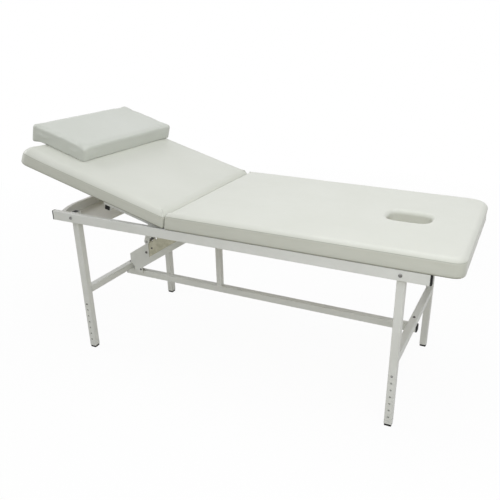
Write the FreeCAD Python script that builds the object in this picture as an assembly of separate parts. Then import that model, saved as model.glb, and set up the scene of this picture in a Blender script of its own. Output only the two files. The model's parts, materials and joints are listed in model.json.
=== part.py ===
import FreeCAD, Part
import math
import os

# Massage table with a sprung backrest prop, height-adjustable legs and a face hole.
# Millimetres and degrees. X runs from the head end to the face hole end, Y from the
# near side to the far side, and Z up from the floor.

# Top frame
frame_length = 1575.0
frame_width = 700.0
rail_top = 651.0
rail_height = 40.0
rail_thickness = 20.0
tube_wall = 1.5
rail_corner = 3.0
cap_thickness = 7.0
cap_chamfer = 2.4
plug_depth = 14.0
short_plug_depth = 8.0
plug_slack = 0.1
weld_gap = 0.01

# Head end of the frame
bow_bend_radius = 300.0
bow_arc_reach = 130.0
panel_right = 214.0
panel_drop = 6.0
panel_top = 617.0
sheet = 2.0
seat_gap = 0.3

# Cross tubes of the top frame
hinge_tube_left = 571.0
hinge_tube_side = 30.0
middle_tube_left = 1050.0
foot_tube_left = 1538.0

# Legs
leg_side = 30.0
leg_corner = 3.0
leg_left_head = 77.0
leg_left_foot = 1462.0
leg_tube_bottom = 10.0
plug_recess = 0.8
inner_leg_gap = 0.5
inner_leg_top = 256.0
hole_pitch = 30.0
hole_count = 7
top_hole_height = 222.0
button_radius = 4.0
button_hole_gap = 0.3
button_proud = 3.0
button_flange_radius = 6.0
button_flange_depth = 2.0
button_stem_radius = 2.0
button_stem_length = 13.0
clip_thickness = 1.0
clip_width = 9.0
clip_height = 28.0
clip_gap_behind = 6.5
foot_side = 28.0
foot_height = 9.5
foot_corner = 4.0
foot_edge = 1.5

# Lower frame
leg_cross_bottom = 272.0
stretcher_side = 30.0
stretcher_overhang = 4.0
stretcher_cap = 6.0
post_side = 25.0
post_centre = 586.5

# Fasteners
leg_bolt_radius = 4.0
leg_bolt_head = 7.0
small_bolt_radius = 3.0
stretcher_bolt_head = 5.5
bolt_head_height = 3.5
bolt_socket_radius = 2.6
bolt_socket_depth = 2.0
nut_across_share = 3.2
nut_height_share = 1.6
bolt_hole_gap = 0.2
leg_bolt_below_top = 20.0

# Backrest hinge and its travel
hinge_x = 553.0
hinge_z = 654.0
rest_tilt = 15.0
highest_tilt = 40.0
lug_radius = 8.0
lug_thickness = 5.0
lug_from_rail = 17.5
fork_thickness = 4.0
fork_side_gap = 0.5
hinge_pin_radius = 4.0
hinge_pin_gap = 0.05
hinge_pin_spare = 2.0

# Boards and cushions
cushion_width = 710.0
cushion_thickness = 69.0
main_cushion_left = 551.0
main_cushion_right = 1673.5
backrest_length = 731.0
board_thickness = 12.0
board_inset = 10.0
board_hinge_gap = 10.0
plan_corner = 60.0
top_edge = 18.0
bottom_edge = 8.0
end_lean = 10.0
cushion_clearance = 0.8
backrest_lift = 0.5

# Face hole
hole_centre_x = 1418.0
hole_centre_y = -2.0
hole_length = 168.0
hole_width = 116.0
hole_corner = 42.0
hole_lip = 9.0

# Backrest frame
back_tube_side = 25.0
back_rail_from_rail = 5.0
back_rail_start = 20.0
back_cross_from_hinge = 292.0
back_cross_end_inset = 13.0
back_plug_thickness = 4.0
back_plug_side = 21.0

# Prop and its notched rack
rack_slope = 33.4
rack_thickness = 3.0
rack_depth = 88.0
rack_left = 109.0
rack_foot_left = 128.0
rack_foot_right = {"near": 172.0, "far": 145.0}
rack_top_limit = 639.0
rack_over_stretcher = 10.0
rack_above_cross_tube = 8.0
gusset_right = 219.0
stiffener_band = 27.0
stiffener_thickness = 3.0
foot_bar_radius = 6.0
foot_bar_clearance = 0.3
notch_radius = 6.5
notch_depth = 7.5
notch_count = 7
prop_pivot_from_hinge = 250.0
prop_pivot_below_board = 45.0
prop_arm_width = 25.0
prop_arm_thickness = 5.0
prop_arm_inner_y = 22.5
prop_pin_radius = 5.0
prop_pin_gap = 0.05
ear_radius = 10.0
ear_thickness = 4.0
ear_gap = 0.5
prop_brace_radius = 6.0
prop_brace_from_pin = 110.0
rack_spacer_radius = 7.0
rack_bolt_spots = {"big": (205.0, 375.0), "small": (236.0, 400.0), "high": (522.0, 592.0)}
rack_bolt_heads = {"big": 6.0, "small": 4.5, "high": 4.5}
stiffener_bolts = ("big",)
rack_foot_bolt = (163.0, 280.0)
rack_foot_bolt_head = 4.5
rack_tab_left = 152.0
rack_tab_height = 15.0
rack_tab_depth = 12.0

# Pillow
pillow_depth = 282.0
pillow_length = 590.0
pillow_thickness = 64.0
pillow_from_hinge = 610.0
pillow_side_shift = 50.0
pillow_twist = -1.8
pillow_corner = 24.0
pillow_edge = 16.0
pillow_gap = 0.5

# Worked out from the sizes above
half_frame = frame_width / 2
rail_inner_y = half_frame - rail_thickness
rail_bottom = rail_top - rail_height
bow_straight_half = rail_inner_y - bow_arc_reach
lug_centre_y = rail_inner_y - lug_from_rail
back_rail_outer_y = rail_inner_y - back_rail_from_rail
back_cross_half = back_rail_outer_y - back_cross_end_inset
half_cushion = cushion_width / 2
cushion_top = rail_top + cushion_thickness
leg_inner_y = rail_inner_y - leg_side
bore_corner = rail_corner - tube_wall
inner_leg_side = leg_side - 2 * tube_wall - 2 * inner_leg_gap
leg_centre_y = rail_inner_y - leg_side / 2
stretcher_top = leg_cross_bottom
stretcher_bottom = stretcher_top - stretcher_side
stretcher_left = leg_left_head - stretcher_overhang + stretcher_cap
stretcher_right = leg_left_foot + leg_side + stretcher_overhang - stretcher_cap
backrest_bottom = rail_top + backrest_lift
prop_pivot_x = hinge_x - prop_pivot_from_hinge
prop_pivot_z = backrest_bottom - prop_pivot_below_board
prop_length = math.hypot(prop_pivot_x - hinge_x, prop_pivot_z - hinge_z)
prop_pivot_drop = math.degrees(math.atan2(hinge_z - prop_pivot_z, hinge_x - prop_pivot_x))
rack_inner_y = stretcher_side / 2
button_travel = button_proud + tube_wall + inner_leg_gap + seat_gap

X_AXIS = FreeCAD.Vector(1, 0, 0)
Y_AXIS = FreeCAD.Vector(0, 1, 0)
Z_AXIS = FreeCAD.Vector(0, 0, 1)
SIDES = {"near": -1, "far": 1}
ENDS = {"head": leg_left_head, "foot": leg_left_foot}


def vector(x, y, z):
    return FreeCAD.Vector(x, y, z)


def box(xs, ys, zs):
    """A box between pairs of X, Y and Z, given in any order."""
    (x0, x1), (y0, y1), (z0, z1) = sorted(xs), sorted(ys), sorted(zs)
    return Part.makeBox(x1 - x0, y1 - y0, z1 - z0, vector(x0, y0, z0))


def cylinder(radius, start, direction, length):
    return Part.makeCylinder(radius, length, start, direction)


def rounded_box(xs, ys, zs, radius, along="z"):
    """A box whose four edges along one axis are rounded."""
    solid = box(xs, ys, zs)
    tangent = {"x": X_AXIS, "y": Y_AXIS, "z": Z_AXIS}[along]
    edges = [e for e in solid.Edges if abs(abs(e.tangentAt(e.FirstParameter).dot(tangent)) - 1) < 1e-6]
    return solid.makeFillet(radius, edges)


def square_tube(xs, ys, zs, along, corner=rail_corner, wall=tube_wall):
    """A rectangular tube with rounded corners, open at both ends."""
    outer = rounded_box(xs, ys, zs, corner, along)
    spans = {"x": sorted(xs), "y": sorted(ys), "z": sorted(zs)}
    for axis in spans:
        if axis != along:
            spans[axis] = (spans[axis][0] + wall, spans[axis][1] - wall)
    bore = rounded_box(spans["x"], spans["y"], spans["z"], corner - wall, along)
    return outer.cut(bore)


def tilted(shape, angle):
    """A shape turned about the backrest hinge, head end up for a positive angle."""
    turned = shape.copy()
    turned.rotate(vector(hinge_x, 0, hinge_z), Y_AXIS, angle)
    return turned


def both_sides(shape):
    """A far-side shape and its mirror image on the near side."""
    return [shape, shape.mirror(vector(0, 0, 0), Y_AXIS)]


def edges_at_height(shape, height):
    flat = 0.01
    return [e for e in shape.Edges
            if abs(e.BoundBox.ZMin - height) < flat and abs(e.BoundBox.ZMax - height) < flat]


def outline_plate(points, y_from, thickness):
    """A flat plate in the XZ plane from its outline's corner points."""
    corners = [vector(x, y_from, z) for x, z in points]
    wire = Part.makePolygon(corners + corners[:1])
    return Part.Face(wire).extrude(vector(0, thickness, 0))


def plug(xs, ys, zs, along):
    """The part of a plug that fills a tube's bore; the pairs give the tube outside it."""
    inset = tube_wall + plug_slack
    spans = {"x": sorted(xs), "y": sorted(ys), "z": sorted(zs)}
    for axis in spans:
        if axis != along:
            spans[axis] = (spans[axis][0] + inset, spans[axis][1] - inset)
    return rounded_box(spans["x"], spans["y"], spans["z"], bore_corner, along)


def hexagon(radius, start, direction, length):
    """A six-sided prism of the given corner radius."""
    across = direction.cross(Z_AXIS if abs(direction.dot(Z_AXIS)) < 0.5 else X_AXIS)
    up = direction.cross(across)
    corners = []
    for step in range(6):
        angle = math.radians(60 * step)
        corners.append(start + across * (radius * math.cos(angle)) + up * (radius * math.sin(angle)))
    wire = Part.makePolygon(corners + corners[:1])
    return Part.Face(wire).extrude(direction * length)


def socket_bolt(start, direction, length, radius, head_radius):
    """A button-head bolt whose head sits outside start and whose shank runs along direction."""
    head = cylinder(head_radius, start, direction * -1, bolt_head_height)
    rim = [e for e in head.Edges if e.Closed and (e.CenterOfMass - start).Length > bolt_head_height / 2]
    head = head.makeChamfer(bolt_head_height / 2, rim)
    socket_start = start - direction * bolt_head_height
    socket = hexagon(bolt_socket_radius, socket_start, direction, bolt_socket_depth)
    return head.cut(socket).fuse(cylinder(radius, start, direction, length)).removeSplitter()


def nut_height(radius):
    return radius * nut_height_share


def nut(start, direction, radius):
    """A plain hexagonal nut that fills round its bolt."""
    corner_radius = radius * nut_across_share / math.sqrt(3)
    body = hexagon(corner_radius, start, direction, nut_height(radius))
    return body.cut(cylinder(radius, start, direction, nut_height(radius)))


def bolt_hole(start, direction, length, radius):
    return cylinder(radius + bolt_hole_gap, start, direction, length)


def rail(side):
    """A side rail with the clearance holes for its two leg bolts."""
    outer_y = side * half_frame
    inner_y = side * rail_inner_y
    tube = square_tube((0, frame_length), (outer_y, inner_y), (rail_bottom, rail_top), "x")
    for left in ENDS.values():
        start = vector(left + leg_side / 2, inner_y, rail_top - leg_bolt_below_top)
        tube = tube.cut(bolt_hole(start, Y_AXIS * side, rail_thickness, leg_bolt_radius))
    return tube


def capped_end(start, outward, thickness, ys, zs):
    """A chamfered cap on the end of a tube along X, with its plug inside the tube."""
    end = start + outward * thickness
    face = rounded_box((start, end), ys, zs, rail_corner, "x")
    outer = [e for e in face.Edges if abs(e.BoundBox.Center.x - end) < 0.01]
    face = face.makeChamfer(cap_chamfer, outer)
    return face.fuse(plug((start, start - outward * short_plug_depth), ys, zs, "x")).removeSplitter()


def rail_end_caps():
    """Plastic caps pushed into the four open rail ends."""
    ends = ((0, -1), (frame_length, 1))
    caps = []
    for start, outward in ends:
        caps += both_sides(capped_end(start, outward, cap_thickness, (rail_inner_y, half_frame),
                                      (rail_bottom, rail_top)))
    return Part.makeCompound(caps)


def bow_face(offset):
    """The head bow's plan outline, moved in by offset on its long sides."""
    outer_radius = bow_bend_radius - offset
    inner_radius = bow_bend_radius - rail_thickness + offset
    reach = rail_inner_y - bow_straight_half
    centre_x = bow_bend_radius

    def point(radius, y):
        along = y - bow_straight_half
        return vector(centre_x - math.sqrt(radius ** 2 - along ** 2), y, 0)

    def arc(radius, sign):
        low = point(radius, bow_straight_half)
        middle = point(radius, bow_straight_half + reach / 2)
        high = point(radius, rail_inner_y)
        ends = [vector(p.x, p.y * sign, 0) for p in (low, middle, high)]
        return Part.Arc(*ends).toShape(), ends[0], ends[2]

    outer_far, outer_far_low, outer_far_high = arc(outer_radius, 1)
    outer_near, outer_near_low, outer_near_high = arc(outer_radius, -1)
    inner_far, inner_far_low, inner_far_high = arc(inner_radius, 1)
    inner_near, inner_near_low, inner_near_high = arc(inner_radius, -1)
    edges = [outer_far, Part.makeLine(outer_far_high, inner_far_high), inner_far,
             Part.makeLine(inner_far_low, inner_near_low), inner_near,
             Part.makeLine(inner_near_high, outer_near_high), outer_near,
             Part.makeLine(outer_near_low, outer_far_low)]
    return Part.Face(Part.Wire(Part.__sortEdges__(edges)))


def head_bow_block():
    block = bow_face(0.0).extrude(Z_AXIS * rail_height)
    block.translate(Z_AXIS * rail_bottom)
    return block


def head_bow():
    """The bent cross tube at the head end, whose ends curve in to meet the rails."""
    block = head_bow_block()
    bore = bow_face(tube_wall).extrude(Z_AXIS * (rail_height - 2 * tube_wall))
    bore.translate(Z_AXIS * (rail_bottom + tube_wall))
    long_edges = edges_at_height(block, rail_top) + edges_at_height(block, rail_bottom)
    long_edges = [e for e in long_edges if abs(abs(e.BoundBox.Center.y) - rail_inner_y) > 1]
    return block.makeFillet(rail_corner, long_edges).cut(bore)


def head_panel():
    """A folded sheet behind the head bow, notched round the legs."""
    plate = box((rail_thickness, panel_right), (-rail_inner_y, rail_inner_y), (panel_top - sheet, panel_top))
    fold = box((panel_right - sheet, panel_right), (-rail_inner_y, rail_inner_y),
               (panel_top - panel_drop, panel_top))
    bow = bow_face(-seat_gap).extrude(Z_AXIS * rail_height)
    bow.translate(Z_AXIS * rail_bottom)
    panel = plate.fuse(fold).removeSplitter().cut(bow)
    notch = box((leg_left_head - seat_gap, leg_left_head + leg_side + seat_gap),
                (leg_inner_y - seat_gap, rail_inner_y), (panel_top - panel_drop, panel_top))
    for part in both_sides(notch):
        panel = panel.cut(part)
    return max(panel.Solids, key=lambda solid: solid.Volume)


def cross_tube(left, thickness, height, top=rail_top, half=rail_inner_y):
    return square_tube((left, left + thickness), (-half, half), (top - height, top), "y")


def leg_tube(left, side):
    """The outer leg tube with its bolt hole and its row of height holes."""
    ys = (side * leg_inner_y, side * rail_inner_y)
    tube = square_tube((left, left + leg_side), ys, (leg_tube_bottom, rail_top), "z", leg_corner)
    centre_x = left + leg_side / 2
    start = vector(centre_x, side * leg_inner_y, rail_top - leg_bolt_below_top)
    tube = tube.cut(bolt_hole(start, Y_AXIS * side, leg_side, leg_bolt_radius))
    for step in range(hole_count):
        height = top_hole_height - step * hole_pitch
        start = vector(centre_x, side * (rail_inner_y - 2 * tube_wall), height)
        tube = tube.cut(cylinder(button_radius + button_hole_gap, start, Y_AXIS * side, 3 * tube_wall))
    return tube


def leg_top_plugs():
    """Square plugs just inside the tops of the leg tubes."""
    plugs = []
    top = rail_top - plug_recess
    for left in ENDS.values():
        body = plug((left, left + leg_side), (leg_inner_y, rail_inner_y), (top - short_plug_depth, top), "z")
        plugs += both_sides(body.makeChamfer(plug_recess, edges_at_height(body, top)))
    return Part.makeCompound(plugs)


def leg_bolts():
    """One bolt and nut through each rail and leg."""
    bolts = []
    for left in ENDS.values():
        height = rail_top - leg_bolt_below_top
        outer = vector(left + leg_side / 2, half_frame, height)
        length = half_frame - leg_inner_y + nut_height(leg_bolt_radius)
        bolts += both_sides(socket_bolt(outer, Y_AXIS * -1, length, leg_bolt_radius, leg_bolt_head))
        bolts += both_sides(nut(vector(outer.x, leg_inner_y, height), Y_AXIS * -1, leg_bolt_radius))
    return Part.makeCompound(bolts)


def inner_leg(left, side):
    """The sliding leg tube with the hole that its spring button stands in."""
    inset = tube_wall + inner_leg_gap
    xs = (left + inset, left + leg_side - inset)
    ys = (side * (leg_inner_y + inset), side * (rail_inner_y - inset))
    corner = leg_corner - tube_wall + inner_leg_gap
    tube = square_tube(xs, ys, (foot_height, inner_leg_top), "z", corner)
    start = vector(left + leg_side / 2, side * (rail_inner_y - inset - 2 * tube_wall), top_hole_height)
    return tube.cut(cylinder(button_radius + button_hole_gap, start, Y_AXIS * side, 3 * tube_wall))


def foot(left, side):
    """A rubber foot: a square pad under the inner leg, with a plug up inside it."""
    centre_x = left + leg_side / 2
    centre_y = side * leg_centre_y
    half = foot_side / 2
    pad = rounded_box((centre_x - half, centre_x + half), (centre_y - half, centre_y + half),
                      (0, foot_height), foot_corner)
    pad = pad.makeFillet(foot_edge, edges_at_height(pad, 0))
    grip = inner_leg_side / 2
    return pad.fuse(plug((centre_x - grip, centre_x + grip), (centre_y - grip, centre_y + grip),
                         (foot_height, foot_height + plug_depth), "z")).removeSplitter()


def leg_button(left, side):
    """The spring button: a round nose, a flange inside the inner leg and a guide stem."""
    nose_y = rail_inner_y + button_proud
    flange_y = rail_inner_y - 2 * tube_wall - inner_leg_gap - seat_gap
    centre_x = left + leg_side / 2
    nose = cylinder(button_radius, vector(centre_x, flange_y, top_hole_height), Y_AXIS, nose_y - flange_y)
    tip = [e for e in nose.Edges if e.Closed and abs(e.BoundBox.Center.y - nose_y) < 0.01]
    nose = nose.makeFillet(button_proud * 0.6, tip)
    flange = cylinder(button_flange_radius, vector(centre_x, flange_y, top_hole_height), Y_AXIS * -1,
                      button_flange_depth)
    stem = cylinder(button_stem_radius, vector(centre_x, flange_y, top_hole_height), Y_AXIS * -1,
                    button_stem_length)
    button = nose.fuse([flange, stem]).removeSplitter()
    return button if side > 0 else button.mirror(vector(0, 0, 0), Y_AXIS)


def leg_clip(left, side):
    """The bent spring strip behind the button, with a guide hole for the stem."""
    centre_x = left + leg_side / 2
    xs = (centre_x - clip_width / 2, centre_x + clip_width / 2)
    wall_inner = rail_inner_y - 2 * tube_wall - inner_leg_gap
    front = wall_inner - button_flange_depth - clip_gap_behind
    back = leg_inner_y + 2 * tube_wall + inner_leg_gap
    low = top_hole_height - clip_height / 2
    high = top_hole_height + clip_height / 2
    strip = box(xs, (front - clip_thickness, front), (low, high))
    strip = strip.fuse(box(xs, (back, back + clip_thickness), (low, high)))
    strip = strip.fuse(box(xs, (back, front), (low, low + clip_thickness))).removeSplitter()
    start = vector(centre_x, front - 2 * clip_thickness, top_hole_height)
    guide = cylinder(button_stem_radius + button_hole_gap, start, Y_AXIS, 3 * clip_thickness)
    strip = strip.cut(guide)
    return strip if side > 0 else strip.mirror(vector(0, 0, 0), Y_AXIS)


def stretcher():
    """The long low tube under both leg cross tubes."""
    half = stretcher_side / 2
    tube = square_tube((stretcher_left, stretcher_right), (-half, half),
                       (stretcher_bottom, stretcher_top), "x")
    for left in ENDS.values():
        start = vector(left + leg_side / 2, 0, stretcher_bottom)
        tube = tube.cut(bolt_hole(start, Z_AXIS, stretcher_side, small_bolt_radius))
    return tube


def stretcher_caps():
    """Plastic caps on both ends of the stretcher."""
    half = stretcher_side / 2
    ends = ((stretcher_left, -1), (stretcher_right, 1))
    return Part.makeCompound([capped_end(start, outward, stretcher_cap, (-half, half),
                                         (stretcher_bottom, stretcher_top)) for start, outward in ends])


def leg_cross_tube(left):
    """The tube between a pair of legs, drilled for the bolt that holds the stretcher."""
    tube = cross_tube(left, leg_side, leg_side, leg_cross_bottom + leg_side, leg_inner_y)
    start = vector(left + leg_side / 2, 0, leg_cross_bottom)
    return tube.cut(bolt_hole(start, Z_AXIS, leg_side, small_bolt_radius))


def stretcher_bolts():
    """Upright bolts that clamp the stretcher under the leg cross tubes."""
    pieces = []
    length = leg_side + stretcher_side + nut_height(small_bolt_radius)
    for left in ENDS.values():
        top = vector(left + leg_side / 2, 0, leg_cross_bottom + leg_side)
        pieces.append(socket_bolt(top, Z_AXIS * -1, length, small_bolt_radius, stretcher_bolt_head))
        pieces.append(nut(vector(top.x, 0, stretcher_bottom), Z_AXIS * -1, small_bolt_radius))
    return Part.makeCompound(pieces)


def centre_post():
    half = post_side / 2
    top = rail_top - hinge_tube_side
    return square_tube((post_centre - half, post_centre + half), (-half, half), (stretcher_top, top), "z")


def rack_point(distance, drop):
    """A point on the rack at a distance from the hinge and a drop below the foot bar's path."""
    slope = math.radians(rack_slope)
    x = hinge_x - distance * math.cos(slope) + drop * math.sin(slope)
    z = hinge_z - distance * math.sin(slope) - drop * math.cos(slope)
    return x, z


def rack_line_height(x, drop):
    """The height at x of the line that lies a drop below the foot bar's path."""
    slope = math.radians(rack_slope)
    return hinge_z - (hinge_x - x) * math.tan(slope) - drop / math.cos(slope)


def rack_line_x(z, drop):
    slope = math.radians(rack_slope)
    return hinge_x - (hinge_z - drop / math.cos(slope) - z) / math.tan(slope)


def foot_bar_distance(tilt):
    """How far the foot bar is from the hinge at a backrest tilt."""
    return 2 * prop_length * math.cos(math.radians(tilt - prop_pivot_drop + rack_slope))


def rack_outline(foot_right, upper_end):
    """The rack's left end, foot and lower edge, joined to the points of its upper edge."""
    lower = foot_bar_radius + foot_bar_clearance + rack_depth
    foot_bottom = stretcher_top - rack_over_stretcher
    step_height = leg_cross_bottom + leg_side + rack_above_cross_tube
    return [(rack_left, rack_line_height(rack_left, foot_bar_radius + foot_bar_clearance)),
            (rack_left, step_height), (rack_foot_left, step_height - rack_foot_left + rack_left),
            (rack_foot_left, foot_bottom), (foot_right, foot_bottom),
            (foot_right, rack_line_height(foot_right, lower)),
            (hinge_tube_left, rack_line_height(hinge_tube_left, lower))] + upper_end


def notched(plate, y_from, thickness):
    """A rack piece with a half-round notch for each of the prop's settings."""
    drop = foot_bar_radius + foot_bar_clearance + notch_depth - notch_radius
    for step in range(notch_count):
        tilt = rest_tilt + (highest_tilt - rest_tilt) * step / (notch_count - 1)
        x, z = rack_point(foot_bar_distance(tilt), drop)
        plate = plate.cut(cylinder(notch_radius, vector(x, y_from, z), Y_AXIS, thickness))
    return plate


def rack_hole(plate, spot, y_from, thickness):
    x, z = spot
    return plate.cut(bolt_hole(vector(x, y_from, z), Y_AXIS, thickness, small_bolt_radius))


def rack_plate(name):
    """A slanted side plate with half-round notches for the prop's foot bar."""
    crest = foot_bar_radius + foot_bar_clearance
    upper_end = [(hinge_tube_left, rack_top_limit), (rack_line_x(rack_top_limit, crest), rack_top_limit)]
    y_from = rack_inner_y if name == "far" else -rack_inner_y - rack_thickness
    outline = rack_outline(rack_foot_right[name], upper_end)
    plate = notched(outline_plate(outline, y_from, rack_thickness), y_from, rack_thickness)
    for spot in rack_bolt_spots.values():
        plate = rack_hole(plate, spot, y_from, rack_thickness)
    return rack_hole(plate, rack_foot_bolt, y_from, rack_thickness) if name == "near" else plate


def rack_stiffener():
    """A gusset and a lower band in one plate, laid on the outside of the near rack plate."""
    crest = foot_bar_radius + foot_bar_clearance
    band_top = crest + rack_depth - stiffener_band
    upper_end = [(hinge_tube_left, rack_line_height(hinge_tube_left, band_top)),
                 (gusset_right, rack_line_height(gusset_right, band_top)),
                 (gusset_right, rack_line_height(gusset_right, crest))]
    y_from = -rack_inner_y - rack_thickness - stiffener_thickness
    outline = rack_outline(rack_foot_right["near"], upper_end)
    plate = notched(outline_plate(outline, y_from, stiffener_thickness), y_from, stiffener_thickness)
    for name in stiffener_bolts:
        plate = rack_hole(plate, rack_bolt_spots[name], y_from, stiffener_thickness)
    return rack_hole(plate, rack_foot_bolt, y_from, stiffener_thickness)


def rack_spacers():
    """Tubes that hold the two rack plates apart, and the tab on the stretcher for the near plate."""
    pieces = []
    for x, z in rack_bolt_spots.values():
        start = vector(x, -rack_inner_y, z)
        ring = cylinder(rack_spacer_radius, start, Y_AXIS, 2 * rack_inner_y)
        pieces.append(ring.cut(bolt_hole(start, Y_AXIS, 2 * rack_inner_y, small_bolt_radius)))
    xs = (rack_tab_left, rack_foot_right["near"])
    upright = box(xs, (-rack_inner_y, -rack_inner_y + rack_thickness),
                  (stretcher_top, stretcher_top + rack_tab_height))
    sole = box(xs, (-rack_inner_y, -rack_inner_y + rack_tab_depth), (stretcher_top, stretcher_top + sheet))
    x, z = rack_foot_bolt
    hole = bolt_hole(vector(x, -rack_inner_y, z), Y_AXIS, rack_thickness, small_bolt_radius)
    pieces.append(upright.fuse(sole).removeSplitter().cut(hole))
    return Part.makeCompound(pieces)


def rack_bolts():
    """Bolts and nuts through the rack plates and spacers, and through the near plate and its tab."""
    pieces = []
    outer_y = rack_inner_y + rack_thickness
    nut_size = nut_height(small_bolt_radius)
    for name, (x, z) in rack_bolt_spots.items():
        head_y = outer_y + stiffener_thickness if name in stiffener_bolts else outer_y
        pieces.append(socket_bolt(vector(x, -head_y, z), Y_AXIS, head_y + outer_y + nut_size,
                                  small_bolt_radius, rack_bolt_heads[name]))
        pieces.append(nut(vector(x, outer_y, z), Y_AXIS, small_bolt_radius))
    x, z = rack_foot_bolt
    head_y = outer_y + stiffener_thickness
    nut_y = rack_inner_y - rack_thickness
    pieces.append(socket_bolt(vector(x, -head_y, z), Y_AXIS, head_y - nut_y + nut_size,
                              small_bolt_radius, rack_foot_bolt_head))
    pieces.append(nut(vector(x, -nut_y, z), Y_AXIS, small_bolt_radius))
    return Part.makeCompound(pieces)


def hinge_lugs():
    """Eyes welded to the hinge cross tube that carry the backrest pins."""
    y_from = lug_centre_y - lug_thickness / 2
    centre = vector(hinge_x, y_from, hinge_z)
    low = rail_top - hinge_tube_side + 2 * sheet
    strap = outline_plate([(hinge_x - lug_radius, hinge_z), (hinge_x + lug_radius, rail_top - seat_gap),
                           (hinge_tube_left, rail_top - hinge_tube_side / 4), (hinge_tube_left, low),
                           (hinge_x + lug_radius / 2, low)], y_from, lug_thickness)
    eye = strap.fuse(cylinder(lug_radius, centre, Y_AXIS, lug_thickness)).removeSplitter()
    return Part.makeCompound(both_sides(eye.cut(cylinder(hinge_pin_radius, centre, Y_AXIS, lug_thickness))))


def hinge_pins():
    """Pins fixed in the lugs that the backrest forks turn on."""
    half = lug_thickness / 2 + fork_side_gap + fork_thickness + hinge_pin_spare
    pin = cylinder(hinge_pin_radius, vector(hinge_x, lug_centre_y - half, hinge_z), Y_AXIS, 2 * half)
    return Part.makeCompound(both_sides(pin))


def hinge_forks():
    """Pairs of ears on the backrest side tubes, one each side of a lug."""
    tube_end = hinge_x - back_rail_start
    tube_top = backrest_bottom
    tube_low = backrest_bottom - back_tube_side
    ears = []
    for offset in (-1, 1):
        near_face = lug_centre_y + offset * (lug_thickness / 2 + fork_side_gap)
        y_from = near_face if offset > 0 else near_face - fork_thickness
        centre = vector(hinge_x, y_from, hinge_z)
        strap = outline_plate([(tube_end, tube_low + sheet),
                               (hinge_x + lug_radius / 2, hinge_z - lug_radius * 0.8),
                               (hinge_x, hinge_z), (hinge_x - board_hinge_gap, tube_top - seat_gap),
                               (tube_end, tube_top - seat_gap)], y_from, fork_thickness)
        ear = strap.fuse(cylinder(lug_radius, centre, Y_AXIS, fork_thickness)).removeSplitter()
        ear = ear.cut(cylinder(hinge_pin_radius + hinge_pin_gap, centre, Y_AXIS, fork_thickness))
        ears += both_sides(ear)
    return Part.makeCompound(ears)


def cushion_block(left, right, bottom, round_end, closing_end):
    """A padded block with rounded corners, edges and one square end, cut by its closing end."""
    block = box((left, right), (-half_cushion, half_cushion), (bottom, bottom + cushion_thickness))
    uprights = [e for e in block.Edges
                if abs(e.BoundBox.ZLength - cushion_thickness) < 0.01
                and abs(e.BoundBox.Center.x - round_end) < 1]
    block = block.makeFillet(plan_corner, uprights).cut(closing_end)
    block = block.makeFillet(top_edge, edges_at_height(block, bottom + cushion_thickness))
    low = [e for e in edges_at_height(block, bottom)
           if abs(e.BoundBox.Center.x - (left + right - round_end)) > plan_corner]
    return block.makeFillet(bottom_edge, low)


def leaning_half(clearance, sign):
    """All the space on one side of the main cushion's leaning end face, moved left by a clearance."""
    reach = 2 * backrest_length
    lean = reach * math.tan(math.radians(end_lean))
    face_x = main_cushion_left - clearance
    return outline_plate([(face_x - lean, rail_top - reach), (face_x + lean, rail_top + reach),
                          (face_x + sign * 2 * reach, rail_top + reach),
                          (face_x + sign * 2 * reach, rail_top - reach)], -cushion_width, 2 * cushion_width)


def hinge_relief(left, right, bottom):
    """The space kept free of foam beside the board ends at the hinge."""
    return box((left, right), (-cushion_width, cushion_width), (bottom - top_edge, bottom + board_thickness))


def board(left, right, bottom):
    half = half_cushion - board_inset
    return box((left, right), (-half, half), (bottom, bottom + board_thickness))


def face_hole(z_from, z_to):
    """The oblong face hole, with generously rounded corners."""
    return rounded_box((hole_centre_x - hole_length / 2, hole_centre_x + hole_length / 2),
                       (hole_centre_y - hole_width / 2, hole_centre_y + hole_width / 2), (z_from, z_to),
                       hole_corner)


def main_board():
    panel = board(hinge_x + board_hinge_gap, main_cushion_right - board_inset, rail_top)
    corners = [e for e in panel.Edges
               if abs(e.BoundBox.ZLength - board_thickness) < 0.01 and e.BoundBox.Center.x > hole_centre_x]
    panel = panel.makeFillet(plan_corner - board_inset, corners)
    return panel.cut(face_hole(rail_top, rail_top + board_thickness))


def main_cushion():
    """The long pad with the face hole, hollowed underneath for its board."""
    pad = cushion_block(main_cushion_left - cushion_thickness, main_cushion_right, rail_top,
                        main_cushion_right, leaning_half(0.0, -1))
    pad = pad.cut(hinge_relief(main_cushion_left - cushion_thickness, hinge_x + board_hinge_gap, rail_top))
    pad = pad.cut(face_hole(rail_top, cushion_top))
    rim = [e for e in edges_at_height(pad, cushion_top)
           if abs(e.BoundBox.Center.x - hole_centre_x) < hole_length / 2 + 1
           and abs(e.BoundBox.Center.y - hole_centre_y) < hole_width / 2 + 1]
    pad = pad.makeFillet(hole_lip, rim)
    pocket_left = main_cushion_left - cushion_thickness
    pocket = board(pocket_left, main_cushion_right - board_inset, rail_top)
    corners = [e for e in pocket.Edges
               if abs(e.BoundBox.ZLength - board_thickness) < 0.01 and e.BoundBox.Center.x > hole_centre_x]
    return pad.cut(pocket.makeFillet(plan_corner - board_inset, corners))


def backrest_board():
    left = hinge_x - backrest_length + board_inset
    panel = board(left, hinge_x - board_hinge_gap, backrest_bottom)
    corners = [e for e in panel.Edges
               if abs(e.BoundBox.ZLength - board_thickness) < 0.01 and e.BoundBox.Center.x < left + 1]
    return panel.makeFillet(plan_corner - board_inset, corners)


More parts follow.
